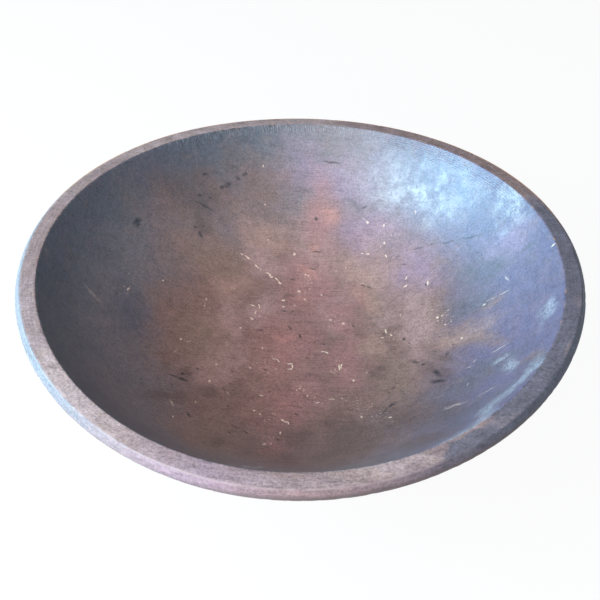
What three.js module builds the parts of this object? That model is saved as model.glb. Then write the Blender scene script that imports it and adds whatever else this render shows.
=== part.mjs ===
// A turned wooden bowl: one blank of wood, turned round on a lathe and since warped by drying.
// Millimetres, +Z up. The origin is at the middle of the foot, on the surface that the bowl stands on.
// The grain of the wood runs along X.
import * as THREE from "three";
import { mergeVertices } from "three/addons/utils/BufferGeometryUtils.js";

// The bowl as it came off the lathe
const OUTER_RADIUS = 190.5; // at the lower corner of the rim's bevel: 15 inches across
const RIM_HEIGHT = 108; // the flat of the rim above the table
const RIM_WIDTH = 10.6; // the flat of the rim, measured across
const BEVEL_WIDTH = 3.7; // the bevel outside that flat, measured across
const BEVEL_DROP = 4.8; // and down
const FLOOR_THICKNESS = 17; // the wood under the middle of the bowl
const FOOT_RADIUS = 62;
const FOOT_RING = 14; // the width of the flat ring that the bowl stands on
const FOOT_HOLLOW = 1.5; // how far the underside is hollowed inside that ring
const FOOT_HEIGHT = 2.5; // the short upright edge between the foot and the wall

// The slopes of the two walls, in degrees
const INNER_WALL_SLOPE = 62; // above level, at the rim
const OUTER_WALL_SLOPE = 57; // above level, under the bevel
const FOOT_WALL_SLOPE = 16; // above level, where the wall leaves the foot

// How full the curves are: the length of each curve's handle as a share of the curve's reach
const FLOOR_FULLNESS = 0.6;
const INNER_RIM_FULLNESS = 0.33;
const OUTER_FOOT_FULLNESS = 0.52;
const OUTER_RIM_FULLNESS = 0.37;

// What drying did: wood shrinks across its grain and not along it
const SHRINKAGE = 0.02; // the share of its width that the bowl has lost across the grain
const RIM_LIFT = 5.3; // the rim stands this much higher at the ends of the grain, and lower at its sides

// Roundings of the worn corners
const INNER_CORNER = 0.8;
const ARRIS_CORNER = 0.8;
const BEVEL_CORNER = 1.4;

// How finely the round shapes are cut into flats
const SEGMENTS_AROUND = 96;
const WALL_STEPS = 14;
const CORNER_STEPS = 2;

const degrees = (angle) => (angle * Math.PI) / 180;

// The point at a distance from another, in a direction above level
function pointAt(from, angle, distance) {
  return new THREE.Vector2(
    from.x + distance * Math.cos(degrees(angle)),
    from.y + distance * Math.sin(degrees(angle)),
  );
}

// A curve between two points that leaves and arrives at the given slopes
function wallCurve(start, startAngle, startReach, end, endAngle, endReach) {
  return new THREE.CubicBezierCurve(
    start,
    pointAt(start, startAngle, startReach),
    pointAt(end, endAngle, -endReach),
    end,
  ).getPoints(WALL_STEPS);
}

// A rounded corner: a short curve from one side of the corner to the other
function roundedCorner(corner, before, after, size) {
  const towards = (point) =>
    corner.clone().add(point.clone().sub(corner).setLength(size));
  return new THREE.QuadraticBezierCurve(
    towards(before),
    corner,
    towards(after),
  ).getPoints(CORNER_STEPS);
}

// The half section of the bowl, from the middle of its underside round to the middle of its floor
function bowlProfile() {
  const innerRim = new THREE.Vector2(
    OUTER_RADIUS - BEVEL_WIDTH - RIM_WIDTH,
    RIM_HEIGHT,
  );
  const arris = new THREE.Vector2(OUTER_RADIUS - BEVEL_WIDTH, RIM_HEIGHT);
  const bevelCorner = new THREE.Vector2(OUTER_RADIUS, RIM_HEIGHT - BEVEL_DROP);
  const footTop = new THREE.Vector2(FOOT_RADIUS, FOOT_HEIGHT);
  const floorMiddle = new THREE.Vector2(0, FLOOR_THICKNESS);

  const underBevel = pointAt(bevelCorner, OUTER_WALL_SLOPE, -BEVEL_CORNER);
  const outerReach = underBevel.distanceTo(footTop);
  const outerWall = wallCurve(
    footTop,
    FOOT_WALL_SLOPE,
    outerReach * OUTER_FOOT_FULLNESS,
    underBevel,
    OUTER_WALL_SLOPE,
    outerReach * OUTER_RIM_FULLNESS,
  );

  const belowRim = pointAt(innerRim, INNER_WALL_SLOPE, -INNER_CORNER);
  const innerReach = belowRim.distanceTo(floorMiddle);
  const innerWall = wallCurve(
    floorMiddle,
    0,
    innerReach * FLOOR_FULLNESS,
    belowRim,
    INNER_WALL_SLOPE,
    innerReach * INNER_RIM_FULLNESS,
  ).reverse();

  return [
    new THREE.Vector2(0, FOOT_HOLLOW),
    new THREE.Vector2(FOOT_RADIUS - FOOT_RING, FOOT_HOLLOW),
    new THREE.Vector2(FOOT_RADIUS - FOOT_RING, 0),
    new THREE.Vector2(FOOT_RADIUS, 0),
    ...outerWall,
    ...roundedCorner(bevelCorner, underBevel, arris, BEVEL_CORNER).slice(1),
    ...roundedCorner(arris, bevelCorner, innerRim, ARRIS_CORNER),
    ...roundedCorner(innerRim, arris, belowRim, INNER_CORNER).slice(0, -1),
    ...innerWall,
  ];
}

// Moves every point as drying has moved the wood: narrower across the grain, and bent up towards
// the ends of the grain and down towards its sides. The foot was trued flat again afterwards.
function dry(geometry) {
  const position = geometry.getAttribute("position");
  for (let i = 0; i < position.count; i += 1) {
    const point = new THREE.Vector3().fromBufferAttribute(position, i);
    const aboveFoot = Math.min(1, point.z / FOOT_HEIGHT);
    const bend = (RIM_LIFT * (point.x ** 2 - point.y ** 2)) / OUTER_RADIUS ** 2;
    position.setXYZ(i, point.x, point.y * (1 - SHRINKAGE), point.z + bend * aboveFoot);
  }
  return geometry;
}

function turnedBowl() {
  const lathe = new THREE.LatheGeometry(bowlProfile(), SEGMENTS_AROUND);
  lathe.rotateX(Math.PI / 2); // the lathe turns about Y, and the bowl stands along Z
  lathe.deleteAttribute("normal");
  lathe.deleteAttribute("uv");
  const geometry = dry(mergeVertices(lathe));
  geometry.computeVertexNormals();
  const stainedWood = new THREE.MeshStandardMaterial({
    name: "stained_wood",
    color: 0x5a453d,
    roughness: 0.5,
    metalness: 0,
  });
  const bowl = new THREE.Mesh(geometry, stainedWood);
  bowl.name = "bowl";
  return bowl;
}

const part = new THREE.Group();
part.add(turnedBowl());

export default part;
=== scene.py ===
"""The looks of a turned wooden bowl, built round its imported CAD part, with a stage and a camera."""

import math

import bmesh
import bpy
from mathutils import Matrix, Vector, noise
from mathutils.geometry import interpolate_bezier


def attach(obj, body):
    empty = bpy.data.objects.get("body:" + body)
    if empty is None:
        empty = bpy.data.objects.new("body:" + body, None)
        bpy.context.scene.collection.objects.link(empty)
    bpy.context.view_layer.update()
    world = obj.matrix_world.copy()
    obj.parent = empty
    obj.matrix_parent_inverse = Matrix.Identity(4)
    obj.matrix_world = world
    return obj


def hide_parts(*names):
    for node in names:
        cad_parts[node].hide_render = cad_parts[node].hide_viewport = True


bl_info = {
    "name": "Turned Wooden Bowl",
    "version": (1, 0, 0),
    "blender": (4, 5, 0),
    "location": "3D View > Sidebar > Bowl",
    "description": "Turns, wears and stains a wooden bowl, and sets it on a pale stage",
    "category": "Object",
}

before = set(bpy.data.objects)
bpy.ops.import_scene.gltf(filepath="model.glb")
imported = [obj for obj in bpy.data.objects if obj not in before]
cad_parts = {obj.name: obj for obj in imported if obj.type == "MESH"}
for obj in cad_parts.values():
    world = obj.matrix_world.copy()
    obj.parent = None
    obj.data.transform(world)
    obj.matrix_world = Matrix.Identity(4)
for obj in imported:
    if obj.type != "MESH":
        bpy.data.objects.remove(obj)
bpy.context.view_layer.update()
MM = 0.001


def length(name, description, millimetres):
    """A size that a user may change, given here in millimetres."""
    return bpy.props.FloatProperty(
        name=name, description=description, default=millimetres * MM, precision=4, unit="LENGTH")


def slope(name, description, degrees):
    """An angle that a user may change, given here in degrees."""
    return bpy.props.FloatProperty(
        name=name, description=description, default=math.radians(degrees), subtype="ANGLE")


def share(name, description, value):
    """A share between nothing and all that a user may change."""
    return bpy.props.FloatProperty(
        name=name, description=description, default=value, min=0, max=1, subtype="FACTOR")


def tint(name, description, red, green, blue):
    """A colour that a user may change."""
    return bpy.props.FloatVectorProperty(
        name=name, description=description, default=(red, green, blue), min=0, max=1, subtype="COLOR")


class BowlShape(bpy.types.PropertyGroup):
    """The bowl as it came off the lathe, and what drying has done to it."""

    outer_radius: length("Outer radius", "At the lower corner of the rim's bevel", 190.5)
    rim_height: length("Rim height", "The flat of the rim above the table", 108)
    rim_width: length("Rim width", "The flat of the rim, measured across", 10.6)
    bevel_width: length("Bevel width", "The bevel outside that flat, measured across", 3.7)
    bevel_drop: length("Bevel drop", "The bevel, measured down", 4.8)
    floor_thickness: length("Floor thickness", "The wood under the middle of the bowl", 17)
    foot_radius: length("Foot radius", "The outside of the foot", 62)
    foot_ring: length("Foot ring", "The width of the flat ring that the bowl stands on", 14)
    foot_hollow: length("Foot hollow", "How far the underside is hollowed inside that ring", 1.5)
    foot_height: length("Foot height", "The short upright edge between foot and wall", 2.5)
    inner_wall_slope: slope("Inner wall slope", "Above level, at the rim", 62)
    outer_wall_slope: slope("Outer wall slope", "Above level, under the bevel", 57)
    foot_wall_slope: slope("Foot wall slope", "Above level, where the wall leaves the foot", 16)
    shrinkage: share("Shrinkage", "The share of its width lost across the grain", 0.02)
    rim_lift: length("Rim lift", "How far drying lifted the rim at the ends of the grain", 5.3)


class BowlWear(bpy.types.PropertyGroup):
    """What the tool, the hand and the years have left in the surface."""

    tool_pitch: length("Tool pitch", "From one ridge of the turning tool to the next", 6.5)
    tool_ridge: length("Tool ridge", "The height of those ridges", 0.05)
    waver: length("Waver", "How far hand finishing left the walls uneven", 0.25)
    nick_depth: length("Nick depth", "The deepest bruises along the edges", 0.7)
    nick_reach: length("Nick reach", "How far from an edge its bruises reach", 1.8)


class BowlFinish(bpy.types.PropertyGroup):
    """The stain, its patina and the bare wood that shows where it has worn off, with sheen, highlights
    and shade painted into the colour.
    """

    stain: tint("Stain", "The dark stain where it is thickest", 0.115, 0.078, 0.066)
    umber: tint("Umber", "The stain of most of the inside", 0.235, 0.152, 0.125)
    # Painted sheen: the steep wall's cooler tone stands for the cool light that it reflects.
    wall: tint("Wall", "The cooler stain of the steep wall", 0.188, 0.179, 0.187)
    # Painted sheen: the blue of the window's light, reflected off the right wall.
    right_wall_sheen: tint("Far wall", "The bluish haze of wax on the right wall", 0.142, 0.130, 0.212)
    # Painted sheen: the mauve part of the highlight over the far side, and on the rim and bevel in
    # front.
    sheen_tone: tint("Haze", "The mauve haze over the far side", 0.315, 0.230, 0.325)
    # Painted shade: the dark left wall, which faces away from the light, tinted with a cool sheen.
    teal_shade_and_sheen: tint("Under edge", "The dark blue-green under the left edge", 0.085, 0.116, 0.141)
    # Partly painted sheen: pale patches in the middle and towards the upper right stand for a broad dim
    # highlight.
    worn: tint("Worn", "The paler wood where the inside is most worn", 0.450, 0.308, 0.285)
    # Mostly painted highlight: the pink streak of light down the middle, where the round tool marks
    # catch it, with some warmer stain beside it.
    rosy_stain_and_highlight: tint("Rose", "The stain where handling has warmed it", 0.390, 0.195, 0.180)
    # Painted highlight: the brightest warm spots along the streak of light down the middle.
    salmon_highlight: tint("Salmon", "The brightest warm patches", 0.620, 0.300, 0.220)
    olive: tint("Olive", "The greener brown of the sides", 0.265, 0.186, 0.140)
    tan: tint("Tan", "Paler brown patches", 0.440, 0.290, 0.225)
    # Also painted shade: the right of the rim and of its bevel, and the far left of the inner wall.
    slate_and_shade: tint("Slate", "Bluish dark patches", 0.120, 0.120, 0.150)
    # Painted sheen and reflections at the right of the inside, and the pale raised fibres by the far
    # edge.
    sheen_and_fibre: tint("Bloom", "The pale bloom of old wax", 0.490, 0.535, 0.560)
    taupe: tint("Taupe", "The worn flat of the rim", 0.275, 0.198, 0.190)
    cream: tint("Cream", "The palest parts of the rim", 0.405, 0.312, 0.290)
    bevel: tint("Bevel", "The rubbed bevel outside that flat", 0.300, 0.190, 0.180)
    outside: tint("Outside", "The stain of the outside and the foot", 0.300, 0.120, 0.060)
    bare_wood: tint("Bare wood", "The wood at worn edges", 0.640, 0.330, 0.150)
    fresh_cut: tint("Fresh cut", "The pale wood in cuts", 0.940, 0.780, 0.600)
    bruise: tint("Bruise", "The blackened wood in dents", 0.020, 0.020, 0.026)
    inside_roughness: share("Inside roughness", "The rubbed inside", 0.42)
    rim_roughness: share("Rim roughness", "The dry rim", 0.62)
    outside_roughness: share("Outside roughness", "The outside and the foot", 0.75)


class BowlStage(bpy.types.PropertyGroup):
    """The camera and the soft light of the studio."""

    camera_distance: length("Camera distance", "From the point that the camera looks at", 569.2)
    camera_aim: length("Camera aim", "That point's height on the bowl's axis", 63.4)
    camera_elevation: slope("Camera elevation", "Above level", 44.27)
    camera_azimuth: slope("Camera azimuth", "Round the bowl from the front, towards its right", 3.78)
    camera_roll: slope("Camera roll", "How far the camera leans to its left", 0.16)
    camera_lens: length("Camera lens", "Its focal length on a sensor 36 mm wide", 46.98)
    window_light: tint("Window light", "The cool light of the window on the left", 0.36, 0.76, 1.0)
    room_light: tint("Room light", "The light from the rest of the room", 1.0, 0.82, 0.84)
    floor: tint("Floor", "The pale floor", 0.86, 0.86, 0.86)


# How full the two walls' curves are: the length of each handle as a share of the curve's reach
FLOOR_FULLNESS = 0.6
INNER_RIM_FULLNESS = 0.33
OUTER_FOOT_FULLNESS = 0.52
OUTER_RIM_FULLNESS = 0.37

# The roundings of the worn corners, in metres, and how finely each is cut
CORNER_ROUNDINGS = {
    "inner_edge": 0.8 * MM,
    "arris": 0.8 * MM,
    "belt": 1.3 * MM,
    "foot_top": 0.8 * MM,
    "foot": 0.8 * MM,
    "ring": 0.5 * MM,
}
CORNER_CUTS = 3

# How finely the bowl is cut
SEGMENTS_AROUND = 576
DOUBLINGS = 4
INNER_WALL_POINTS = 84
OUTER_WALL_POINTS = 40
RIM_POINTS = 7
BEVEL_POINTS = 5
FOOT_POINTS = 4
UNDERSIDE_POINTS = 7
SAME_POINT = 1e-6


def toward(point, angle, distance):
    """The point at a distance from another in the section, in a direction above level."""
    return point + distance * Vector((math.cos(angle), 0, math.sin(angle)))


def wall_curve(start, start_angle, start_share, end, end_angle, end_share, count):
    """A curve in the section that leaves and arrives at the given slopes."""
    reach = (end - start).length
    handle = toward(start, start_angle, reach * start_share)
    other_handle = toward(end, end_angle, -reach * end_share)
    return interpolate_bezier(start, handle, other_handle, end, count)


def straight(start, end, count):
    """Evenly spaced points from start up to and including end."""
    return [start.lerp(end, i / (count - 1)) for i in range(count)]


def bowl_corners(shape):
    """The named points of the half section, which lies in the plane of X and Z."""
    belt = Vector((shape.outer_radius, 0, shape.rim_height - shape.bevel_drop))
    arris = belt + Vector((-shape.bevel_width, 0, shape.bevel_drop))
    return {
        "floor_middle": Vector((0, 0, shape.floor_thickness)),
        "inner_edge": arris - Vector((shape.rim_width, 0, 0)),
        "arris": arris,
        "belt": belt,
        "foot_top": Vector((shape.foot_radius, 0, shape.foot_height)),
        "foot": Vector((shape.foot_radius, 0, 0)),
        "ring": Vector((shape.foot_radius - shape.foot_ring, 0, 0)),
        "hollow": Vector((shape.foot_radius - shape.foot_ring, 0, shape.foot_hollow)),
        "under_middle": Vector((0, 0, shape.foot_hollow)),
    }


def bowl_section(shape, corners):
    """The half section from the middle of the floor over the rim to the middle of the underside."""
    inner_wall = wall_curve(
        corners["floor_middle"], 0, FLOOR_FULLNESS,
        corners["inner_edge"], shape.inner_wall_slope, INNER_RIM_FULLNESS, INNER_WALL_POINTS)
    outer_wall = wall_curve(
        corners["foot_top"], shape.foot_wall_slope, OUTER_FOOT_FULLNESS,
        corners["belt"], shape.outer_wall_slope, OUTER_RIM_FULLNESS, OUTER_WALL_POINTS)
    runs = (
        inner_wall,
        straight(corners["inner_edge"], corners["arris"], RIM_POINTS),
        straight(corners["arris"], corners["belt"], BEVEL_POINTS),
        outer_wall[::-1],
        [corners["foot_top"], corners["foot"]],
        straight(corners["foot"], corners["ring"], FOOT_POINTS),
        [corners["ring"], corners["hollow"]],
        straight(corners["hollow"], corners["under_middle"], UNDERSIDE_POINTS),
    )
    return [point for run in runs for point in run[:-1]] + [corners["under_middle"]]


def round_corner(turning, corner, size):
    """Rounds the one point of the section that lies at a corner."""
    turning.verts.ensure_lookup_table()
    point = min(turning.verts, key=lambda vert: (vert.co - corner).length)
    bmesh.ops.bevel(
        turning, geom=[point], offset=size, offset_type="OFFSET", segments=CORNER_CUTS,
        profile=0.5, affect="VERTICES", material=-1)


def measure_along(turning, start):
    """Writes on each point its way along the section from the floor's middle, in millimetres."""
    along = turning.verts.layers.float.new("along")
    here = min(turning.verts, key=lambda vert: (vert.co - start).length)
    behind, distance = None, 0
    while here:
        here[along] = distance / MM
        ahead = [edge.other_vert(here) for edge in here.link_edges if edge.other_vert(here) != behind]
        if not ahead:
            return
        distance += (ahead[0].co - here.co).length
        behind, here = here, ahead[0]


def edge_places(turning, corners):
    """How far along the section each of its corners lies, in millimetres."""
    along = turning.verts.layers.float["along"]
    return {
        name: min(turning.verts, key=lambda vert: (vert.co - corner).length)[along]
        for name, corner in corners.items()
    }


def spin_by_doubling(turning):
    """Spins the section through a small angle, then doubles that slice until it closes."""
    angle = math.tau / 2**DOUBLINGS
    bmesh.ops.spin(
        turning, geom=turning.verts[:] + turning.edges[:],
        cent=(0, 0, 0), axis=(0, 0, 1), dvec=(0, 0, 0), angle=angle,
        steps=SEGMENTS_AROUND // 2**DOUBLINGS, use_merge=False, use_duplicate=False)
    for _ in range(DOUBLINGS):
        slice_parts = turning.verts[:] + turning.edges[:] + turning.faces[:]
        copied = bmesh.ops.duplicate(turning, geom=slice_parts)["geom"]
        points = [part for part in copied if isinstance(part, bmesh.types.BMVert)]
        bmesh.ops.rotate(turning, verts=points, cent=(0, 0, 0), matrix=Matrix.Rotation(angle, 3, "Z"))
        angle *= 2


def turn_bowl(shape):
    """Spins the half section into the closed bowl, and finds where its edges lie along it."""
    corners = bowl_corners(shape)
    turning = bmesh.new()
    ring = [turning.verts.new(point) for point in bowl_section(shape, corners)]
    for pair in zip(ring, ring[1:]):
        turning.edges.new(pair)
    for name, size in CORNER_ROUNDINGS.items():
        round_corner(turning, corners[name], size)
    measure_along(turning, corners["floor_middle"])
    places = edge_places(turning, corners)
    spin_by_doubling(turning)
    bmesh.ops.remove_doubles(turning, verts=turning.verts[:], dist=SAME_POINT)
    bmesh.ops.recalc_face_normals(turning, faces=turning.faces[:])
    turning.normal_update()
    return turning, places


# The sizes of the unevenness, in metres, the share of the ridges that is left on average, and how
# much noise it takes to make a nick
WAVER_SIZE = 70 * MM
RIDGE_FADE_SIZE = 45 * MM
RIDGE_SHARE = 0.5
NICK_SIZE = 4.5 * MM
NICK_THRESHOLD = 0.12


def wear_bowl(turning, places, wear):
    """Moves the points as tool ridges, an uneven hand and knocks on the edges have done."""
    along = turning.verts.layers.float["along"]
    edges = [places["inner_edge"], places["arris"], places["belt"], places["foot_top"]]
    walls = ((0, places["inner_edge"]), (places["belt"], places["foot_top"]))
    moves = {}
    for point in turning.verts:
        move = wear.waver * noise.noise(point.co / WAVER_SIZE)
        if any(start < point[along] < end for start, end in walls):
            ridge = math.sin(math.tau * point[along] * MM / wear.tool_pitch)
            left = RIDGE_SHARE + noise.noise(point.co / RIDGE_FADE_SIZE)
            move += wear.tool_ridge * ridge * left
        nearness = max(1 - abs(point[along] - edge) * MM / wear.nick_reach for edge in edges)
        if nearness > 0:
            bite = max(0, noise.noise(point.co / NICK_SIZE) - NICK_THRESHOLD)
            move -= wear.nick_depth * bite * nearness
        moves[point] = point.normal * move
    for point, move in moves.items():
        on_foot = point[along] >= places["foot"]
        point.co += Vector((move.x, move.y, 0)) if on_foot else move


def dry_bowl(turning, shape):
    """Shrinks the bowl across its grain, and bends it up at the grain's ends and down beside it."""
    for point in turning.verts:
        x, y, z = point.co
        above_foot = min(1, max(0, z / shape.foot_height))
        bend = shape.rim_lift * (x**2 - y**2) / shape.outer_radius**2
        point.co = (x, y * (1 - shape.shrinkage), z + bend * above_foot)


def bowl_object(shape, wear):
    """The finished bowl as an object at the origin, and where its edges lie along the section."""
    turning, places = turn_bowl(shape)
    wear_bowl(turning, places, wear)
    dry_bowl(turning, shape)
    for face in turning.faces:
        face.smooth = True
    mesh = bpy.data.meshes.new("turned_bowl")
    turning.to_mesh(mesh)
    turning.free()
    bowl = bpy.data.objects.new("turned_bowl", mesh)
    bpy.context.scene.collection.objects.link(bowl)
    return bowl, places


def active(sockets, name):
    """The socket of that name that the node's present settings use."""
    return next(socket for socket in sockets if socket.name == name and socket.enabled)


class Field:
    """A number or colour that differs from point to point. A sum on it adds a node to its recipe."""

    def __init__(self, recipe, socket):
        self.recipe = recipe
        self.socket = socket

    def __add__(self, other):
        return self.recipe.calculate("ADD", self, other)

    __radd__ = __add__

    def __sub__(self, other):
        return self.recipe.calculate("SUBTRACT", self, other)

    def __rsub__(self, other):
        return self.recipe.calculate("SUBTRACT", other, self)

    def __mul__(self, other):
        return self.recipe.calculate("MULTIPLY", self, other)

    def __truediv__(self, other):
        return self.recipe.calculate("DIVIDE", self, other)

    def __abs__(self):
        return self.recipe.calculate("ABSOLUTE", self)


# Noise from 0 to 1 has this middle, and keeps so near it that a push by noise needs this gain
NOISE_MIDDLE = 0.5
NOISE_GAIN = 4


class Recipe:
    """A tree of shader nodes. Most methods add a node and hand back its result."""

    def __init__(self, tree):
        self.tree = tree

    def add(self, kind, inputs, **settings):
        """Adds a node of that kind, with its settings made and its inputs fed."""
        node = self.tree.nodes.new(kind)
        for setting, value in settings.items():
            setattr(node, setting, value)
        for key, value in inputs.items():
            socket = node.inputs[key] if isinstance(key, int) else active(node.inputs, key)
            if isinstance(value, Field):
                self.tree.links.new(value.socket, socket)
            else:
                socket.default_value = value
        return node

    def result(self, node, name):
        """What the node hands back under that name."""
        return Field(self, active(node.outputs, name))

    def take(self, name, kind):
        """Gives a group of nodes an input."""
        self.tree.interface.new_socket(name, in_out="INPUT", socket_type=f"NodeSocket{kind}")
        return self.result(self.add("NodeGroupInput", {}), name)

    def give(self, name, value):
        """Makes the value what a group of nodes hands back."""
        self.tree.interface.new_socket(name, in_out="OUTPUT", socket_type="NodeSocketFloat")
        self.add("NodeGroupOutput", {name: value})

    def calculate(self, operation, *values):
        node = self.add("ShaderNodeMath", dict(enumerate(values)), operation=operation)
        return self.result(node, "Value")

    def vector(self, operation, *values, output="Vector"):
        node = self.add("ShaderNodeVectorMath", dict(enumerate(values)), operation=operation)
        return self.result(node, output)

    def scale(self, vector, factor):
        node = self.add("ShaderNodeVectorMath", {0: vector, "Scale": factor}, operation="SCALE")
        return self.result(node, "Vector")

    def parts(self, vector):
        node = self.add("ShaderNodeSeparateXYZ", {"Vector": vector})
        return tuple(self.result(node, axis) for axis in "XYZ")

    def colour_parts(self, colour):
        node = self.add("ShaderNodeSeparateColor", {"Color": colour})
        return tuple(self.result(node, part) for part in ("Red", "Green", "Blue"))

    def join(self, x, y, z):
        return self.result(self.add("ShaderNodeCombineXYZ", {"X": x, "Y": y, "Z": z}), "Vector")

    def attribute(self, name):
        return self.result(self.add("ShaderNodeAttribute", {}, attribute_name=name), "Fac")

    def measured_place(self, width_kept):
        """The point in millimetres, with the width that drying took off given back."""
        coordinates = self.result(self.add("ShaderNodeTexCoord", {}), "Object")
        scale = (1 / MM, 1 / (MM * width_kept), 1 / MM)
        measured = self.add("ShaderNodeMapping", {"Vector": coordinates, "Scale": scale})
        return self.result(measured, "Vector")

    def noise(self, place, size, detail=2, roughness=0.5, output="Fac"):
        """Cloudy noise from 0 to 1, its largest clouds of about that size."""
        inputs = {"Vector": place, "Scale": 1 / size, "Detail": detail, "Roughness": roughness}
        return self.result(self.add("ShaderNodeTexNoise", inputs), output)

    def ripple(self, noise, strength):
        """Noise as a ripple above and below 0, of that strength from its lowest to its highest."""
        return (noise - NOISE_MIDDLE) * strength

    def drawn_out(self, place, along, across, detail=2, roughness=0.6):
        """Noise drawn out along X, its streaks of about that length and thickness."""
        inputs = {"Vector": place, "Scale": (1 / along, 1 / across, 1 / across)}
        stretched = self.result(self.add("ShaderNodeMapping", inputs), "Vector")
        return self.noise(stretched, size=1, detail=detail, roughness=roughness)

    def shaken(self, place, size, reach):
        """The place pushed about by noise of that size, by about that reach."""
        colour = self.noise(place, size=size, detail=1, output="Color")
        push = self.vector("SUBTRACT", self.join(*self.colour_parts(colour)), [NOISE_MIDDLE] * 3)
        return self.vector("ADD", place, self.scale(push, reach * NOISE_GAIN))

    def moved(self, place, x, y):
        """The place seen from elsewhere, so that a pattern there doesn't match the one here."""
        return self.vector("ADD", place, (x, y, 0))

    def rise(self, value, low, high):
        """Climbs smoothly from 0 at low to 1 at high. With low above high, it falls."""
        inputs = {"Value": value, "From Min": low, "From Max": high}
        node = self.add("ShaderNodeMapRange", inputs, interpolation_type="SMOOTHSTEP", clamp=False)
        return self.result(node, "Result")

    def ridge(self, value, middle, half_width):
        """1 at the middle, falling smoothly to 0 at half_width to either side."""
        return self.rise(abs(value - middle), low=half_width, high=0)

    def most(self, *values):
        """The highest of the values at each point."""
        highest = values[0]
        for value in values[1:]:
            highest = self.calculate("MAXIMUM", highest, value)
        return highest

    def blend(self, a, b, amount):
        """Colour a where the amount is 0, colour b where it is 1."""
        a, b = (value if isinstance(value, Field) else (*value, 1) for value in (a, b))
        node = self.add("ShaderNodeMix", {"Factor": amount, "A": a, "B": b}, data_type="RGBA")
        return self.result(node, "Result")


# Everything below that has its own place in the bowl is given as seen from above, in millimetres: from
# x, y to x, y, and the reach beyond. First come the patches of colour: some that stain and handling
# have left, and some painted sheen, highlight and shade.
BROWN_PATCHES = (
    (-40, -118, 56, -112, 46), (-70, -100, -50, -110, 30), (-124, 56, -88, 112, 30),
    (-104, 0, -104, 40, 20), (-96, 124, -56, 130, 24), (-72, 138, -16, 150, 34),
    (-132, 84, -92, 112, 34), (120, -8, 142, -28, 13), (126, 12, 146, 6, 8),
    (108, -50, 122, -56, 10), (146, -70, 150, -84, 10),
)
# Painted sheen: the mauve part of the highlight over the far side.
MAUVE_SHEEN_PATCHES = (
    (-30, 158, 70, 140, 30), (24, 118, 70, 110, 36), (150, 66, 152, 36, 22), (80, 84, 92, 56, 34),
)
# Paler worn wood; those right of the middle are painted sheen, a broad dim highlight.
WORN_AND_SHEEN_PATCHES = (
    (-46, 94, -22, 72, 28), (-58, 36, -54, -2, 24), (36, 98, 62, 36, 42), (66, 34, 62, 24, 22),
    (20, 60, 28, 20, 28), (-26, 40, -34, 24, 26), (44, 100, 58, 40, 44), (-58, 6, -60, -60, 32),
    (84, 62, 90, -30, 26), (0, 120, 10, 60, 40),
)
# Mostly a painted highlight: the pink streak of light down the middle, where the round tool marks catch
# it, with some warmer stain beside it.
ROSY_STAIN_AND_HIGHLIGHT_PATCHES = (
    (8, 152, 12, 96, 26), (0, 84, 4, 26, 46), (-12, 20, -6, -34, 50), (6, -40, -12, -78, 42),
    (-6, -96, -8, -122, 22), (24, 46, 36, 14, 24), (40, 10, 34, -50, 30), (36, 60, 46, 40, 22),
)
# Painted highlights: the brightest warm spots along that streak.
SALMON_HIGHLIGHT_PATCHES = (
    (-2, 74, 5, 73, 9), (0, 103, 13, 99, 6), (9, 127, 20, 121, 9), (-12, 49, 9, 49, 4),
    (-17, 4, -8, 9, 7), (-5, -116, -12, -118, 12),
)
OLIVE_PATCHES = (
    (-88, 92, -62, 58, 42), (-78, 22, -66, -34, 36), (44, 72, 58, 26, 24), (68, -8, 76, -74, 28),
    (-62, -100, -34, -122, 36), (22, -110, 62, -100, 30),
)
TAN_PATCHES = (
    (50, 52, 55, 33, 15), (-52, 116, -22, 100, 26), (32, 86, 60, 64, 26), (106, -2, 136, -10, 20),
    (55, 0, 62, -10, 16), (36, 62, 40, 44, 10), (-46, 64, -70, 40, 20),
)
DARK_PATCHES = (
    (22, -86, 70, -94, 26), (-118, 104, -80, 124, 28), (-96, -84, -72, -70, 16),
    (2, -86, 4, -108, 22), (-54, -68, -70, -62, 12), (-50, -112, -40, -116, 14),
    (100, -30, 104, -46, 11), (107, -18, 108, -29, 5), (60, -27, 60, -34, 10),
    (83, -22, 92, -27, 5), (-10, 54, -16, 50, 7), (-84, -46, -78, -51, 9), (64, -74, 72, -64, 9),
    (-96, 108, -84, 100, 10), (4, -118, 76, -96, 32), (60, -84, 104, -80, 40),
    (70, -118, 100, -122, 22), (-30, -110, 20, -134, 26),
)
# Bluish dark patches; those at the far left of the inner wall are painted shade with a cool sheen.
SLATE_AND_SHADE_PATCHES = (
    (114, 24, 140, 16, 17), (120, 58, 134, 32, 15), (116, -40, 152, -60, 20),
    (90, -100, 128, -92, 36), (-132, 20, -120, -30, 24), (96, -66, 134, -50, 30),
    (-140, 100, -112, 132, 22), (140, -80, 158, -100, 20), (134, 56, 148, 30, 15),
    (28, 139, 46, 134, 7), (168, 38, 152, 34, 4), (-168, 56, -160, 96, 14), (136, 46, 142, 26, 10),
)
# Painted sheen: the pale highlight at the upper right of the inside.
PALE_SHEEN_PATCHES = ((48, 154, 134, 98, 26), (142, 100, 162, 62, 14))
# Painted reflections: pale streaks along the lower right of the inner edge.
PALE_REFLECTION_PATCHES = (
    (130, -94, 116, -126, 8), (143, -60, 140, -72, 5), (166, -28, 162, -52, 6),
    (112, -132, 88, -152, 14), (126, -116, 104, -140, 9), (-23, -142, -14, -142, 4),
    (141, -50, 141, -54, 3), (150, -78, 128, -112, 6),
)
RIM_CREAM_PATCHES = (
    (18, -181, 84, -161, 9), (20, 181, -70, 166, 15), (-60, 170, -140, 116, 18),
    (-148, -108, -92, -158, 16),
)
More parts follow.
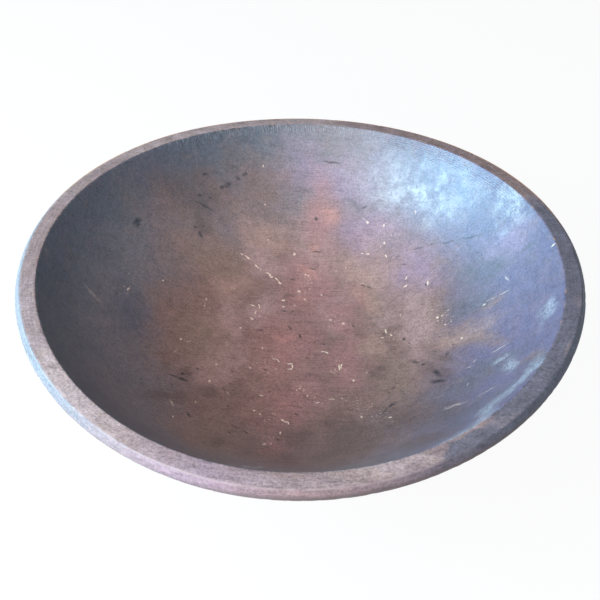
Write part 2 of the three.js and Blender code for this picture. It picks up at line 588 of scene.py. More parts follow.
# Painted shade: the right of the rim, darker as it takes less light than the left.
RIM_SHADE_PATCHES = (
    (88, -160, 118, -139, 9), (122, -138, 180, -30, 24), (182, -40, 170, 70, 22),
)
RIM_BROWN_PATCHES = (
    (168, 78, 124, 134, 12), (118, 140, 50, 172, 10), (-66, -169, 60, -176, 10),
    (-183, 50, -178, -40, 14), (112, -143, 96, -154, 8),
)

# Then the cuts through the stain that show pale wood, the chips, and the fainter scrapes
CUTS = (
    (-56, 87, -53, 86, 0.5), (-52, 86, -47, 83, 0.7), (-43, 79, -40, 76, 0.7),
    (-40, 76, -37, 75, 0.5), (-33, 72, -30, 72, 0.8), (-30, 72, -29, 68, 0.8),
    (-29, 68, -27, 69, 0.7), (-25, 68, -22, 65, 0.8), (-22, 65, -20, 62, 0.7),
    (-43, 37, -38, 36, 0.6), (-36, 38, -35, 36, 0.5), (-35, 36, -34, 34, 0.6),
    (-37, 31, -38, 28, 0.6), (-41, 23, -38, 21, 0.6), (-20, -18, -17, -18, 0.5),
    (-17, -18, -14, -21, 0.6), (-8, -22, -4, -22, 0.6), (-4, -22, -4, -27, 0.6),
    (-4, -27, -8, -28, 0.6), (17, -8, 20, -8, 0.7), (20, -8, 22, -10, 0.7), (31, -21, 31, -27, 0.7),
    (33, -20, 32, -25, 0.5), (65, 15, 66, 10, 0.7), (69, 9, 70, 7, 0.6), (-8, -79, -5, -82, 0.7),
    (-5, -82, -3, -82, 0.6), (-3, -82, -2, -84, 0.6), (65, 89, 66, 87, 0.7), (82, 65, 81, 63, 0.8),
    (98, 57, 98, 53, 0.8), (45, 94, 47, 94, 0.5),
)
CHIPS = (
    (-11, 94, -11, 93, 1.3), (-5, 56, -4, 56, 1.6), (-17, 45, -16, 45, 1.4),
    (-16, 38, -16, 38, 1.2), (0, 74, 0, 74, 1.0), (2, 73, 2, 73, 1.0), (14, 53, 14, 53, 1.1),
    (1, 48, 1, 47, 0.9), (-34, 104, -34, 104, 0.9), (-39, 131, -39, 131, 0.9),
    (-42, 153, -42, 153, 0.9), (25, 78, 25, 78, 0.7), (33, 81, 33, 81, 0.7), (50, 93, 51, 93, 1.0),
    (64, 101, 64, 100, 1.0), (63, 115, 63, 114, 0.9), (49, 120, 50, 119, 1.2),
    (-47, 11, -47, 11, 1.2), (-28, -7, -28, -8, 1.0), (-89, -12, -89, -13, 1.1),
    (-60, -31, -60, -31, 1.1), (-35, -29, -35, -30, 0.7), (-62, -49, -62, -50, 0.9),
    (-26, -57, -22, -57, 0.8), (-27, -73, -27, -73, 1.3), (-23, -76, -23, -76, 1.1),
    (-68, -74, -68, -74, 0.8), (63, 6, 63, 6, 1.0), (104, 19, 104, 18, 1.3),
    (107, 19, 107, 19, 1.1), (109, 9, 109, 9, 0.9), (119, -9, 119, -10, 1.1),
    (41, -37, 42, -38, 1.2), (32, 23, 33, 22, 1.3), (22, 26, 23, 26, 0.9), (77, 28, 77, 28, 0.8),
    (1, -49, 1, -49, 0.9), (3, -47, 3, -47, 0.8), (6, -48, 6, -48, 0.7), (9, -54, 9, -54, 0.9),
    (24, -57, 29, -57, 0.6), (34, -56, 34, -56, 0.9), (15, -61, 18, -60, 0.7),
    (-7, -93, -7, -95, 0.8), (-16, -107, -17, -109, 0.8), (-12, -107, -12, -107, 0.7),
    (-78, -96, -78, -98, 0.7), (47, -75, 48, -77, 0.8), (66, -79, 67, -79, 0.9),
    (-77, 35, -77, 34, 0.9), (-77, 27, -77, 27, 0.9), (-131, 17, -132, 14, 0.9),
    (-111, 39, -111, 39, 0.9), (82, 57, 80, 56, 1.0), (135, 14, 136, 14, 0.9),
    (174, 19, 175, 19, 0.9),
)
SCRAPES = (
    (-55, 84, -49, 80, 0.4), (-85, -14, -81, -11, 0.7), (-89, -24, -92, -29, 0.6),
    (-157, -7, -141, -12, 0.8), (-154, -9, -143, -14, 0.6), (-134, 30, -134, 28, 0.7),
    (97, -82, 118, -82, 0.8), (99, -80, 114, -81, 0.5), (118, -82, 134, -80, 0.7),
    (133, -38, 146, -38, 0.8), (136, 16, 144, 15, 0.7), (144, 15, 152, 13, 0.6),
    (118, -43, 123, -43, 0.6), (124, -40, 126, -37, 0.6), (-49, -57, -46, -60, 0.7),
    (28, -16, 29, -18, 0.6), (24, -27, 26, -30, 0.6), (26, -28, 28, -31, 0.5),
    (27, -26, 29, -28, 0.4), (51, -29, 52, -31, 0.7), (-8, 41, -5, 40, 0.5),
    (-37, -28, -35, -31, 0.4), (44, 124, 49, 120, 0.5), (-84, -78, -80, -86, 1.2),
    (119, -60, 117, -63, 0.5), (148, 30, 152, 20, 0.5), (88, 118, 88, 114, 0.7),
    (92, 13, 90, 11, 0.6),
)

# Where fine pale flecks crowd
FLECKED_PATCHES = (
    (-44, 34, -36, 26, 10), (30, -18, 34, -28, 10), (22, 26, 34, 20, 12), (4, -46, 18, -58, 14),
    (-24, -72, -4, -84, 12), (52, 98, 66, 112, 16), (60, 8, 72, 4, 12), (100, 40, 112, 8, 12),
    (40, -60, 66, -80, 14), (-8, 44, 6, 76, 12), (-76, 34, -78, 24, 8), (-132, 22, -134, 10, 7),
    (-18, -108, -6, -98, 10), (-36, -24, -12, -32, 14),
)

# Last the dark bruises where a knock has closed the wood, and the fine dark cracks and grazes
BRUISES = (
    (-76, 131, -74, 132, 1.4), (-73, 133, -68, 136, 1.7), (-64, 141, -61, 141, 1.3),
    (-59, 144, -55, 146, 1.2), (-91, 131, -86, 134, 0.9), (-94, 118, -90, 120, 1.2),
    (-85, 121, -82, 122, 0.9), (-94, 96, -93, 96, 1.2), (-90, 93, -88, 91, 2.2),
    (-137, 68, -132, 77, 1.6), (-135, 70, -133, 72, 2.2), (-90, -52, -83, -53, 1.0),
    (-83, -53, -77, -54, 2.0), (-82, -48, -81, -48, 1.7), (-71, -88, -67, -92, 1.6),
    (71, -63, 66, -68, 1.7), (66, -68, 60, -76, 1.0), (79, 3, 79, 2, 1.5), (92, -27, 91, -27, 1.5),
    (99, -36, 102, -43, 2.8), (95, -47, 105, -49, 2.8), (-1, 9, 0, 6, 1.2),
    (108, -22, 109, -21, 1.4), (5, 126, 6, 125, 1.5), (96, 54, 97, 53, 0.9),
)
GRAZES = (
    (85, 89, 97, 87, 0.7), (97, 87, 103, 87, 0.7), (107, 85, 120, 81, 0.8), (120, 81, 138, 72, 0.7),
    (45, 63, 50, 61, 1.0), (50, 61, 55, 58, 0.7), (44, 131, 49, 131, 0.9), (74, 86, 76, 86, 0.9),
    (79, 78, 81, 77, 0.7), (-12, 68, -9, 68, 0.9), (-34, 11, -29, 11, 1.0), (-18, 34, -13, 33, 0.7),
    (-9, 34, -7, 34, 0.7), (-11, 18, -7, 14, 0.8), (-25, -30, -22, -30, 1.0),
    (-48, -35, -47, -36, 1.1), (-73, -39, -72, -39, 1.0), (-52, -55, -50, -56, 1.0),
    (-19, -53, -17, -52, 0.7), (17, 0, 20, 0, 0.8), (40, 20, 41, 19, 1.2), (40, -14, 42, -14, 0.9),
    (84, -23, 89, -24, 1.0), (69, -48, 71, -47, 0.9), (104, -1, 105, -2, 0.9),
    (100, -16, 101, -16, 0.9), (112, -13, 114, -14, 0.9), (-44, -89, -33, -95, 0.6),
    (-33, -95, -28, -99, 1.0), (-41, -100, -40, -101, 1.2), (-9, -101, -6, -103, 1.2),
    (-54, -118, -53, -119, 1.3), (-100, 114, -78, 114, 0.8), (4, 161, 28, 158, 0.7),
    (1, -72, 4, -75, 0.8), (-46, -72, -45, -73, 0.9), (82, -2, 83, -3, 1.0), (2, 97, 14, 97, 0.8),
    (0, 81, 10, 79, 0.6), (20, 57, 32, 56, 0.5),
)

# A mark is drawn as seen from above, so it reaches this far up and down, in millimetres
ANY_HEIGHT = 1000

# The log's heart, which lay along X above the bowl, and its growth rings, in millimetres
HEART_Y = -22
HEART_HEIGHT = 210
RING_SPACING = 5.2
RING_WANDER = 26

# How much darker late wood is inside the bowl, and how much more than that outside
LATE_WOOD_DARKNESS = 0.06
LATE_WOOD_OUTSIDE = 0.16

# How strong the speckle is inside the bowl, and how much more than that on the rim
SPECKLE = 1.3
RIM_SPECKLE = 0.4

# The fine lines of the last cut on the lathe: their spacing, their faint height everywhere and the
# height added at the upper right, where the sheen catches them, all in millimetres, how far they waver,
# and the strength of the painted glint that they add to the colour there
TOOL_LINE_SPACING = 1.8
FAINT_TOOL_LINE_HEIGHT = 0.003
TOOL_LINE_HEIGHT = 0.06
TOOL_LINE_WAVER = 3
TOOL_LINE_GLINT_STRENGTH = 0.22

# About how far from the middle the inner edge lies, in millimetres
INNER_EDGE_RADIUS = 180

# How strongly each kind of mark shows: first the painted sheen and reflections, then pale marks, then
# dark ones
PALE_SHEEN_STRENGTH = 0.85
PALE_REFLECTION_STRENGTH = 0.75
CHIP_STRENGTH = 0.8
SCRAPE_STRENGTH = 0.5
FLECK_STRENGTH = 0.5
CURL_STRENGTH = 0.3
HAIR_STRENGTH = 0.1
CUT_SIDE_STRENGTH = 0.4
BRUISE_STRENGTH = 0.9
GRAZE_STRENGTH = 0.75
DASH_STRENGTH = 0.35
PIT_STRENGTH = 0.5


class Marks(Recipe):
    """A group of nodes that draws one list of marks: 1 along the core of each, 0 beside them."""

    def __init__(self, marks, core, margin):
        super().__init__(bpy.data.node_groups.new("marks", "ShaderNodeTree"))
        place = self.take("Place", "Vector")
        drawn = 0
        for x0, y0, x1, y1, reach in marks:
            drawn = self.most(self.mark(place, x0, y0, x1, y1, reach + margin, core), drawn)
        self.give("Amount", drawn)

    def mark(self, place, x0, y0, x1, y1, reach, core):
        """A long oval mark between two points."""
        start, end = Vector((x0, y0, 0)), Vector((x1, y1, 0))
        run = end - start
        oval = self.add("ShaderNodeMapping", {
            "Vector": place,
            "Location": (start + end) / 2,
            "Rotation": (0, 0, math.atan2(run.y, run.x)),
            "Scale": (run.length / 2 + reach, reach, ANY_HEIGHT),
        }, vector_type="TEXTURE")
        inputs = {"Vector": self.result(oval, "Vector")}
        spot = self.add("ShaderNodeTexGradient", inputs, gradient_type="SPHERICAL")
        return self.rise(self.result(spot, "Fac"), low=0, high=1 - core)


class BowlWood(Recipe):
    """The recipe of the bowl's old stained wood: its grain, its patches, its marks and its edges, with
    sheen, highlights and shade painted into its colour.
    """

    def __init__(self, tree, shape, finish, places):
        super().__init__(tree)
        self.finish = finish
        self.edge, self.arris, self.belt = (
            places[name] for name in ("inner_edge", "arris", "belt"))
        self.place = self.measured_place(1 - shape.shrinkage)
        self.x, self.y, self.z = self.parts(self.place)
        self.along = self.attribute("along")
        self.plan = self.join(self.x, self.y, 0)
        self.radius = self.vector("LENGTH", self.plan, output="Value")
        self.in_front = self.rise(self.y, low=-90, high=-150)
        self.find_zones()
        self.find_grain()
        self.find_tool_lines()

    def find_zones(self):
        """Where the surface is inside the bowl, on the flat of the rim, on its bevel, or outside."""
        self.grains = self.noise(self.place, size=2.2, detail=3, roughness=0.6)
        ragged = self.along + self.ripple(self.grains, strength=1.3)
        self.inside = self.rise(ragged, low=self.edge + 0.4, high=self.edge - 0.2)
        beyond_rim = self.rise(ragged, low=self.arris - 0.3, high=self.arris + 0.3)
        self.outside = self.rise(self.along, low=self.belt - 0.3, high=self.belt + 0.7)
        self.bevel = beyond_rim - self.outside
        self.rim = 1 - self.inside - beyond_rim

    def find_grain(self):
        """Growth rings round the log's heart, and streaks, fibres, mottling and grit."""
        wander = self.drawn_out(self.place, along=160, across=45)
        across_log = self.join(0, self.y - HEART_Y, self.z - HEART_HEIGHT)
        from_heart = self.vector("LENGTH", across_log, output="Value")
        ring = self.calculate("FRACT", (from_heart + wander * RING_WANDER) / RING_SPACING)
        self.late_wood = self.rise(ring, low=0.45, high=0.92) * self.rise(ring, low=1.0, high=0.95)
        self.streaks = self.drawn_out(self.place, along=46, across=2.4, detail=4)
        self.fibres = self.drawn_out(self.place, along=6, across=0.6, detail=3, roughness=0.7)
        self.clouds = self.drawn_out(self.place, along=70, across=38, detail=4)
        self.mottle = self.noise(self.place, size=9, detail=5, roughness=0.7)
        self.speckle = self.noise(self.place, size=1.5, detail=2, roughness=0.7)
        grit = self.noise(self.place, size=14, detail=6, roughness=0.72, output="Color")
        self.grit = self.colour_parts(grit)

    def find_tool_lines(self):
        """Fine lines round the bowl, and the upper right of the inside, where the sheen catches them.
        """
        self.rings = self.lathe_streaks(along=1.4, across=16)
        turns = self.along * (math.tau / TOOL_LINE_SPACING) + self.mottle * TOOL_LINE_WAVER
        self.tool_lines = self.calculate("SINE", turns)
        near_edge = self.rise(self.along, low=self.edge - 20, high=self.edge - 6)
        upper_right = self.rise(self.x, low=30, high=80) * self.rise(self.y, low=60, high=100)
        kept = self.rise(self.grit[0], low=0.30, high=0.46)
        self.tooled = near_edge * upper_right * self.inside * kept

    def lathe_streaks(self, along, across):
        """Streaks of about that length along the section and that length round the bowl."""
        return self.drawn_out(self.join(self.along, self.x, self.y), along, across, detail=3)

    def drawn(self, place, marks, core, margin=0):
        """How strongly the marks of one list show, each widened by the margin."""
        group = Marks(marks, core, margin).tree
        return self.result(self.add("ShaderNodeGroup", {"Place": place}, node_tree=group), "Amount")

    def scattered(self, place, spacing, length, width, bend, chance, swing=math.tau):
        """Short bent strokes, at most one to a cell of a random scatter, turned within the swing."""
        inputs = {"Vector": place, "Scale": 1 / spacing}
        cells = self.add("ShaderNodeTexVoronoi", inputs, voronoi_dimensions="2D")
        step = self.vector("SUBTRACT", place, self.result(cells, "Position"))
        turn, bow, luck = self.colour_parts(self.result(cells, "Color"))
        angle = self.ripple(turn, strength=swing)
        x, y, _ = self.parts(step)
        cosine, sine = self.calculate("COSINE", angle), self.calculate("SINE", angle)
        forward = x * cosine + y * sine
        sideways = y * cosine - x * sine + self.ripple(bow, strength=bend) * forward * forward
        thin = self.rise(abs(sideways), low=width, high=width * 0.3)
        short = self.rise(abs(forward), low=length * 0.5, high=length * 0.3)
        return thin * short * self.rise(luck, low=chance, high=0)

    def layered(self, colour, layers):
        """The colour with layers laid over it in turn: each a tint, where it lies, its strength."""
        for tint, where, strength in layers:
            colour = self.blend(colour, tint, where * strength)
        return colour

    def stained(self):
        """The colour of stain and patina, with painted sheen, highlights and shade, and the light and
        dark of the grain.
        """
        loose = self.shaken(self.shaken(self.plan, size=34, reach=7), size=7, reach=2)
        colour = self.with_painted_sheen(loose, self.patched(loose, self.ground()))
        colour = self.blend(colour, self.rim_colour(loose), self.rim)
        colour = self.blend(colour, self.bevel_colour(), self.bevel)
        colour = self.blend(colour, self.finish.outside, self.outside)
        return self.scale(colour, self.grain_light())

    def ground(self):
        """The stain of the middle, the wall round it cooled and the right wall blued as painted sheen,
        and painted shade, a dark blue-green, under the left edge.
        """
        finish = self.finish
        shift = self.ripple(self.clouds, strength=70) + self.ripple(self.grit[0], strength=60)
        # Painted sheen: the steep wall cooler and the right wall blue, where they reflect the window's
        # light.
        on_wall = self.rise(self.radius + shift, low=88, high=148)
        on_right = self.rise(self.x + shift, low=30, high=120)
        colour = self.blend(finish.umber, self.blend(finish.wall, finish.right_wall_sheen, on_right), on_wall)
        # Painted shade: the left of the inner wall, which faces away from the light, darkened and
        # tinted with a cool sheen.
        teal_shade_and_sheen = self.rise(self.radius + shift * 0.4, low=142, high=174)
        on_left = self.rise(self.x, low=20, high=-80)
        return self.layered(colour, ((finish.teal_shade_and_sheen, teal_shade_and_sheen * on_left, 0.8),))

    def patched(self, loose, colour):
        """The colour with the patches that stain and handling have left, painted sheen, a painted
        highlight streak down the middle and painted shade at the far left, and small dark clouds.
        """
        finish = self.finish
        patches_of_tints = (
            (finish.umber, BROWN_PATCHES, 0.9),
            (finish.sheen_tone, MAUVE_SHEEN_PATCHES, 0.8),
            (finish.worn, WORN_AND_SHEEN_PATCHES, 0.9),
            (finish.olive, OLIVE_PATCHES, 0.9),
            (finish.rosy_stain_and_highlight, ROSY_STAIN_AND_HIGHLIGHT_PATCHES, 0.9),
            (finish.tan, TAN_PATCHES, 0.7),
            (finish.salmon_highlight, SALMON_HIGHLIGHT_PATCHES, 0.45),
            (finish.slate_and_shade, SLATE_AND_SHADE_PATCHES, 1.0),
            (finish.stain, DARK_PATCHES, 0.75),
        )
        for number, (tint, patches, strength) in enumerate(patches_of_tints):
            ragged = self.ripple(self.grit[number % len(self.grit)], strength=1.2)
            spread = self.drawn(loose, patches, core=0) + ragged
            where = self.rise(spread, low=-0.05, high=1.35)
            colour = self.blend(colour, tint, where * strength)
        clouds = self.rise(self.mottle + self.clouds * 0.5, low=0.78, high=1.05)
        return self.layered(colour, ((finish.stain, clouds, 0.5),))

    def with_painted_sheen(self, loose, colour):
        """The colour with painted sheen: a wide pale highlight at the upper right, and pale painted
        reflections in streaks along the right edge.
        """
        pale_sheen = self.drawn(loose, PALE_SHEEN_PATCHES, core=0) * self.rise(self.grit[1], low=0.35, high=0.65)
        streaks = self.rise(self.lathe_streaks(along=9, across=0.9), low=0.3, high=0.65)
        sheen_and_fibre = self.drawn(loose, PALE_REFLECTION_PATCHES, core=0.2) * streaks
        # Painted sheen and reflections, laid in as a pale colour.
        wax = self.most(pale_sheen * PALE_SHEEN_STRENGTH, sheen_and_fibre * PALE_REFLECTION_STRENGTH)
        return self.blend(colour, self.finish.sheen_and_fibre, wax)

    def rim_colour(self, loose):
        """The worn flat of the rim, with painted shade at its right and a painted mauve sheen in front.
        """
        finish = self.finish
        return self.layered(finish.taupe, (
            (finish.cream, self.drawn(loose, RIM_CREAM_PATCHES, core=0.6), 0.8),
            (finish.cream, self.rise(self.grit[2], low=0.44, high=0.62), 0.3),
            (finish.olive, self.rise(self.grit[1], low=0.44, high=0.66), 0.5),
            (finish.umber, self.drawn(loose, RIM_BROWN_PATCHES, core=0.6), 0.5),
            # Painted shade at the right of the rim, and a painted mauve sheen in front.
            (finish.slate_and_shade, self.drawn(loose, RIM_SHADE_PATCHES, core=0.6), 0.9),
            (finish.sheen_tone, self.ridge(self.x, middle=-40, half_width=50) * self.in_front, 0.3),
        ))

    def bevel_colour(self):
        """The rubbed bevel, with painted shade darkening it towards the right, a painted cool sheen at
        the left and a painted mauve sheen in front.
        """
        finish = self.finish
        return self.layered(finish.bevel, (
            # Painted shade towards the right, painted sheen in front and at the left.
            (finish.slate_and_shade, self.rise(self.x, low=10, high=130), 1.0),
            (finish.sheen_tone, self.ridge(self.x, middle=-45, half_width=60) * self.in_front, 0.4),
            (finish.teal_shade_and_sheen, self.rise(self.x, low=-70, high=-150), 0.5),
        ))

    def grain_light(self):
        """What the grain, the mottling and the tool lines multiply the stain's colour by; the tool
        lines at the upper right are a painted glint.
        """
        grain = self.ripple(self.streaks, strength=0.55) + self.ripple(self.fibres, strength=0.8)
        figure = self.ripple(self.clouds, strength=0.9) * self.outside
        darkness = LATE_WOOD_DARKNESS + self.outside * LATE_WOOD_OUTSIDE
        mottle = self.ripple(self.mottle, strength=0.9) + self.ripple(self.grains, strength=0.4)
        speckle = self.ripple(self.speckle, strength=SPECKLE + self.rim * RIM_SPECKLE)
        lines = self.ripple(self.rings, strength=0.9) * (self.rim + self.bevel)
        # Painted glint: the tool lines lighten and darken the colour at the upper right, where the
        # sheen catches them.
        lines = lines + self.tool_lines * self.tooled * TOOL_LINE_GLINT_STRENGTH
        return 1 + grain + figure - self.late_wood * darkness + mottle + speckle + lines

    def marked(self, colour):
        """The colour with its cuts, chips, scrapes, bruises and grazes."""
        finish = self.finish
        uneven = self.shaken(self.shaken(self.plan, size=3.5, reach=0.45), size=0.9, reach=0.12)
        whole = self.rise(self.noise(self.plan, size=1.8), low=0.30, high=0.52)
        pale = self.pale_marks(uneven, whole) * self.inside
        colour = self.blend(colour, finish.bruise, self.dark_marks(uneven, whole) * self.inside)
        old = self.rise(self.mottle, low=0.50, high=0.70)
        wood = self.layered(finish.fresh_cut, ((finish.bare_wood, old, 0.4),))
        return self.blend(colour, wood, pale)

    def broken(self, marks, whole, least):
        """Marks that keep their strength where they are whole, and elsewhere that least share."""
        return marks * (least + whole * (1 - least))

    def pale_marks(self, uneven, whole):
        """Where pale wood shows: placed cuts, chips and scrapes, and random flecks, curls and hairs."""
        cuts = self.broken(self.drawn(uneven, CUTS, core=0.4, margin=0.15), whole, least=0.45)
        chips = self.drawn(uneven, CHIPS, core=0.3)
        scrapes = self.broken(self.drawn(uneven, SCRAPES, core=0.2), whole, least=0)
        flecked = self.drawn(uneven, FLECKED_PATCHES, core=0) + self.ripple(self.grit[2], strength=2)
        crowded = self.rise(flecked, low=0.1, high=0.7)
        flecks = self.noise(self.moved(self.plan, x=300, y=80), size=1.5, detail=1)
        curls = self.scattered(
            self.moved(uneven, x=20, y=510), spacing=15, length=4, width=0.4, bend=0.5, chance=0.3)
        hairs = self.scattered(
            self.moved(self.plan, x=90, y=700), spacing=26, length=16, width=0.3, bend=0.03, chance=0.5)
        return self.most(
            cuts,
            chips * CHIP_STRENGTH,
            scrapes * SCRAPE_STRENGTH,
            self.rise(flecks, low=0.60, high=0.74) * crowded * FLECK_STRENGTH,
            curls * crowded * CURL_STRENGTH,
            hairs * HAIR_STRENGTH,
        )

    def dark_marks(self, uneven, whole):
        """Where the wood is dark: beside cuts, in bruises and grazes, in random dashes and pits."""
        cut_sides = self.drawn(uneven, CUTS, core=0.2, margin=0.8)
        bruises = self.broken(self.drawn(uneven, BRUISES, core=0.2, margin=0.2), whole, least=0.5)
        grazes = self.broken(self.drawn(uneven, GRAZES, core=0.3, margin=0.1), whole, least=0.5)
        dashes = self.scattered(
            self.moved(uneven, x=900, y=300),
            spacing=14, length=5, width=0.7, bend=0.1, chance=0.3, swing=0.7)
        pits = self.drawn_out(self.moved(self.plan, x=70, y=20), along=4, across=1.5, detail=3)
        return self.most(
            cut_sides * CUT_SIDE_STRENGTH,
            bruises * BRUISE_STRENGTH,
            grazes * GRAZE_STRENGTH,
            dashes * DASH_STRENGTH,
            self.rise(pits, low=0.62, high=0.74) * PIT_STRENGTH,
        )

    def edge_line(self, middle, half_width, wear, low, high):
        """A line along an edge, drawn where the wear climbs from low to high."""
        return self.ridge(self.along, middle, half_width) * self.rise(wear, low, high)

    def rubbed(self, colour):
        """The colour with rubbed edges: bare wood, and in front a pale line and a dark one."""
        finish = self.finish
        wear = self.noise(self.place, size=11, detail=3, roughness=0.6)
        edge = self.edge_line(self.edge, half_width=0.8, wear=wear, low=0.60, high=0.72)
        far_arris = self.edge_line(self.arris, half_width=1.3, wear=wear, low=0.30, high=0.50)
        far_arris = far_arris * self.rise(self.y, low=20, high=90)
        belt = self.edge_line(self.belt + 0.4, half_width=1.2, wear=wear, low=0.40, high=0.60)
        belt = belt * self.rise(self.y, low=-60, high=20)
        near_arris = self.edge_line(self.arris + 0.3, half_width=1.0, wear=wear, low=0.34, high=0.60)
        near_arris = near_arris * self.in_front * self.rise(self.x, low=110, high=60)
        under_bevel = self.rise(self.along, low=self.belt - 3.6, high=self.belt - 0.8)
        under_bevel = under_bevel * (1 - self.outside) * self.in_front
        colour = self.layered(colour, (
            (finish.bare_wood, edge, 0.7),
            (finish.bare_wood, far_arris, 1.0),
            (finish.bare_wood, belt, 0.6),
            (finish.cream, near_arris, 0.8),
            (finish.stain, under_bevel * self.rise(self.x, low=-110, high=30), 0.9),
        ))
        return self.bristled(colour, wear)

    def bristled(self, colour, wear):
        """The colour with fibres raised along the left of the far inner edge, pale and dark."""
        around = self.calculate("ARCTAN2", self.y, self.x) * INNER_EDGE_RADIUS
        bristle = self.drawn_out(self.join(self.along, around, 0), along=6, across=0.9)
        near_edge = self.rise(self.along, low=self.edge - 9, high=self.edge - 3) * self.inside
        near_edge = near_edge * self.rise(self.y, low=110, high=150)
        near_edge = near_edge * self.rise(wear, low=0.36, high=0.50)
        light = self.rise(bristle, low=0.54, high=0.62) * self.rise(self.x, low=80, high=10)
        dark = self.rise(bristle, low=0.47, high=0.39) * self.rise(self.x, low=40, high=-10)
        return self.layered(colour, (
            (self.finish.sheen_and_fibre, light * near_edge, 0.4),
            (self.finish.bruise, dark * near_edge, 0.7),
        ))

    def roughness(self):
        """How matt the surface is: each zone's own roughness, made uneven."""
        finish = self.finish
        inside = self.inside * finish.inside_roughness
        rim = (self.rim + self.bevel) * finish.rim_roughness
        outside = self.outside * finish.outside_roughness
        uneven = self.ripple(self.mottle, strength=0.25) + self.ripple(self.clouds, strength=0.20)
        return inside + rim + outside + uneven

    def relief(self):
        """The slopes of fibres, streaks, tool lines and small dents. The heights are in millimetres."""
        grain = self.ripple(self.fibres, strength=0.08) + self.ripple(self.streaks, strength=0.08)
        dents = self.ripple(self.speckle, strength=0.14) + self.ripple(self.grains, strength=0.10)
        lines = self.tool_lines * (FAINT_TOOL_LINE_HEIGHT + self.tooled * TOOL_LINE_HEIGHT)
        height = grain + self.ripple(self.mottle, strength=0.20) + dents * (1 - self.rim * 0.4) + lines
        bump = self.add("ShaderNodeBump", {"Height": height, "Distance": MM, "Strength": 1.0})
        return self.result(bump, "Normal")

    def finished(self):
        """Makes the wood's shader the tree's surface."""
        colour = self.rubbed(self.marked(self.stained()))
        relief = self.relief()
        shader = self.add("ShaderNodeBsdfPrincipled", {
            "Base Color": colour,
            "Roughness": self.roughness(),
            "Normal": relief,
            "Coat Normal": relief,
            "IOR": 1.5,
            "Specular IOR Level": 0.8,
            "Coat Weight": 0.5,
            "Coat Roughness": 0.4,
        })
        self.add("ShaderNodeOutputMaterial", {"Surface": self.result(shader, "BSDF")})


def stained_wood(shape, finish, places):
    """Old stained wood with its grain along X, and sheen, highlights and shade painted into its colour.
    """
    material = bpy.data.materials.new("old_stained_wood")
    material.use_nodes = True
    material.node_tree.nodes.clear()
    BowlWood(material.node_tree, shape, finish, places).finished()
    return material


WHITE = (1, 1, 1, 1)

# The floor in metres, and how much of its own white it shows to the camera and in a gloss
FLOOR_SIZE = 3.0
FLOOR_GAP = 0.1 * MM
FLOOR_WHITENESS = 0.94
FLOOR_GLOSS = 0.3


def seen(recipe, glossy_share):
    """1 for a ray from the camera or through glass, and that share of it for a ray off a gloss."""
    path = recipe.add("ShaderNodeLightPath", {})
    rays = ("Is Camera Ray", "Is Glossy Ray", "Is Transmission Ray")
    camera, glossy, glass = (recipe.result(path, ray) for ray in rays)
    return recipe.most(camera, glossy * glossy_share, glass)


def floor_material(stage):
    """A pale floor that looks white and still takes the bowl's shadow."""
    material = bpy.data.materials.new("pale_floor")
    material.use_nodes = True
    material.node_tree.nodes.clear()
    floor = Recipe(material.node_tree)
    matt = floor.add("ShaderNodeBsdfDiffuse", {"Color": (*stage.floor, 1)})
    white = floor.add("ShaderNodeEmission", {"Color": WHITE, "Strength": 1})
    mix = floor.add("ShaderNodeMixShader", {
        0: seen(floor, FLOOR_GLOSS) * FLOOR_WHITENESS,
        1: floor.result(matt, "BSDF"),
        2: floor.result(white, "Emission"),
    })
    floor.add("ShaderNodeOutputMaterial", {"Surface": floor.result(mix, "Shader")})
    return material


def lay_floor(stage):
    """Lays a square floor just under the foot."""
    floor = bmesh.new()
    bmesh.ops.create_grid(floor, x_segments=1, y_segments=1, size=FLOOR_SIZE)
    bmesh.ops.translate(floor, verts=floor.verts[:], vec=(0, 0, -FLOOR_GAP))
    mesh = bpy.data.meshes.new("floor")
    floor.to_mesh(mesh)
    floor.free()
    mesh.materials.append(floor_material(stage))
    piece = bpy.data.objects.new("floor", mesh)
    bpy.context.scene.collection.objects.link(piece)


# The soft panels of light: the direction each comes from, in degrees round from the front towards
# the right and in degrees above level, its width and height in metres, its power in watts, its tint
LAMPS = {
    "window": (-75, 20, 0.70, 0.40, 13.5, "window_light"),
    "front_sky": (-25, 30, 0.60, 0.45, 4.4, "room_light"),
    "back_sky": (-120, 14, 0.60, 0.30, 2.2, "window_light"),
    "high_left": (-85, 55, 0.90, 0.60, 3.5, "room_light"),
    "overhead": (0, 89, 0.90, 0.90, 1.5, "room_light"),
    "front": (15, 27, 0.35, 0.35, 0.9, "window_light"),
    "right": (90, 40, 0.90, 0.60, 1.2, "window_light"),
}
LAMP_DISTANCE = 0.85
LAMP_AIM = Vector((0, 0, 0.07))

# How strongly the room lights the bowl, and how much of its white shows in a gloss
ROOM_STRENGTH = 0.07
ROOM_GLOSS = 0.02


def direction(azimuth, elevation):
    """The unit vector towards an azimuth, round from the front to the right, and an elevation."""
    level = Vector((math.sin(azimuth), -math.cos(azimuth), 0))
    return level * math.cos(elevation) + Vector((0, 0, math.sin(elevation)))


def soft_panel(name, azimuth, elevation, width, height, power, colour):
    """A soft rectangular light that faces the bowl and isn't seen itself."""
    light = bpy.data.lights.new(name, "AREA")
    light.shape = "RECTANGLE"
    light.size, light.size_y = width, height
    light.energy = power
    light.color = colour
    towards = direction(math.radians(azimuth), math.radians(elevation))
    panel = bpy.data.objects.new(name, light)
    panel.location = LAMP_AIM + towards * LAMP_DISTANCE
    panel.rotation_euler = (-towards).to_track_quat("-Z", "Y").to_euler()
    panel.visible_camera = False
    bpy.context.scene.collection.objects.link(panel)


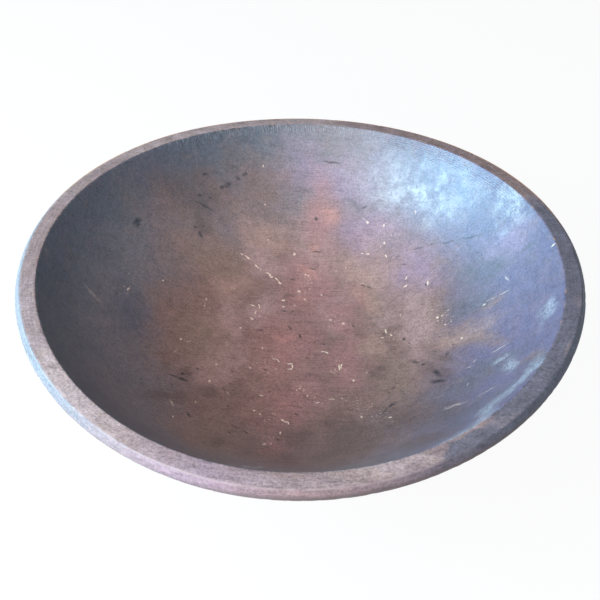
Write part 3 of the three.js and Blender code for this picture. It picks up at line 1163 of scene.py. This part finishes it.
def hang_lights(stage):
    """The room, white to the camera and dim to the bowl, and the lamps in it."""
    world = bpy.data.worlds.new("studio")
    world.use_nodes = True
    world.node_tree.nodes.clear()
    room = Recipe(world.node_tree)
    tinted = (*stage.room_light, 1)
    dim = room.add("ShaderNodeBackground", {"Color": tinted, "Strength": ROOM_STRENGTH})
    white = room.add("ShaderNodeBackground", {"Color": WHITE, "Strength": 1})
    mix = room.add("ShaderNodeMixShader", {
        0: seen(room, ROOM_GLOSS),
        1: room.result(dim, "Background"),
        2: room.result(white, "Background"),
    })
    room.add("ShaderNodeOutputWorld", {"Surface": room.result(mix, "Shader")})
    bpy.context.scene.world = world
    for name, (*facts, tint_name) in LAMPS.items():
        soft_panel(name, *facts, getattr(stage, tint_name))


def place_camera(stage):
    """Points the camera down at the bowl from the front."""
    azimuth, roll = stage.camera_azimuth, stage.camera_roll
    back = direction(azimuth, stage.camera_elevation)
    right = Vector((math.cos(azimuth), math.sin(azimuth), 0))
    up = back.cross(right)
    leaning_right = right * math.cos(roll) + up * math.sin(roll)
    leaning_up = up * math.cos(roll) - right * math.sin(roll)
    turn = Matrix((leaning_right, leaning_up, back)).transposed().to_4x4()
    aim = Vector((0, 0, stage.camera_aim))
    data = bpy.data.cameras.new("camera")
    data.lens = stage.camera_lens / MM
    camera = bpy.data.objects.new("camera", data)
    camera.matrix_world = Matrix.Translation(aim + back * stage.camera_distance) @ turn
    bpy.context.scene.collection.objects.link(camera)
    bpy.context.scene.camera = camera


class TurnBowl(bpy.types.Operator):
    """Turns, wears and stains the bowl"""

    bl_idname = "bowl.turn_bowl"
    bl_label = "Turn the Bowl"

    def execute(self, context):
        scene = context.scene
        bowl, places = bowl_object(scene.bowl_shape, scene.bowl_wear)
        bowl.data.materials.append(stained_wood(scene.bowl_shape, scene.bowl_finish, places))
        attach(bowl, "root")
        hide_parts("bowl")
        return {"FINISHED"}


class SetStage(bpy.types.Operator):
    """Lays the floor, hangs the lights and places the camera"""

    bl_idname = "bowl.set_stage"
    bl_label = "Set the Stage"

    def execute(self, context):
        stage = context.scene.bowl_stage
        lay_floor(stage)
        hang_lights(stage)
        place_camera(stage)
        context.scene.view_settings.view_transform = "Standard"
        return {"FINISHED"}


class BowlPanel(bpy.types.Panel):
    """Lists the bowl's operators and the values that they use"""

    bl_idname = "VIEW3D_PT_bowl"
    bl_label = "Turned Wooden Bowl"
    bl_space_type = "VIEW_3D"
    bl_region_type = "UI"
    bl_category = "Bowl"

    def draw(self, context):
        for operator in OPERATORS:
            self.layout.operator(operator.bl_idname)
        for name in PROPERTY_GROUPS:
            box = self.layout.box()
            group = getattr(context.scene, name)
            for value in group.__annotations__:
                box.prop(group, value)


PROPERTY_GROUPS = {
    "bowl_shape": BowlShape,
    "bowl_wear": BowlWear,
    "bowl_finish": BowlFinish,
    "bowl_stage": BowlStage,
}
OPERATORS = (TurnBowl, SetStage)
CLASSES = (*PROPERTY_GROUPS.values(), *OPERATORS, BowlPanel)


def register():
    """Makes the classes and the groups of values known to Blender."""
    for cls in CLASSES:
        bpy.utils.register_class(cls)
    for name, group in PROPERTY_GROUPS.items():
        setattr(bpy.types.Scene, name, bpy.props.PointerProperty(type=group))


def unregister():
    """Takes them away again."""
    for name in PROPERTY_GROUPS:
        delattr(bpy.types.Scene, name)
    for cls in reversed(CLASSES):
        bpy.utils.unregister_class(cls)


def main():
    """Builds the bowl and its stage."""
    register()
    bpy.ops.bowl.turn_bowl()
    bpy.ops.bowl.set_stage()


if __name__ == "__main__":
    main()
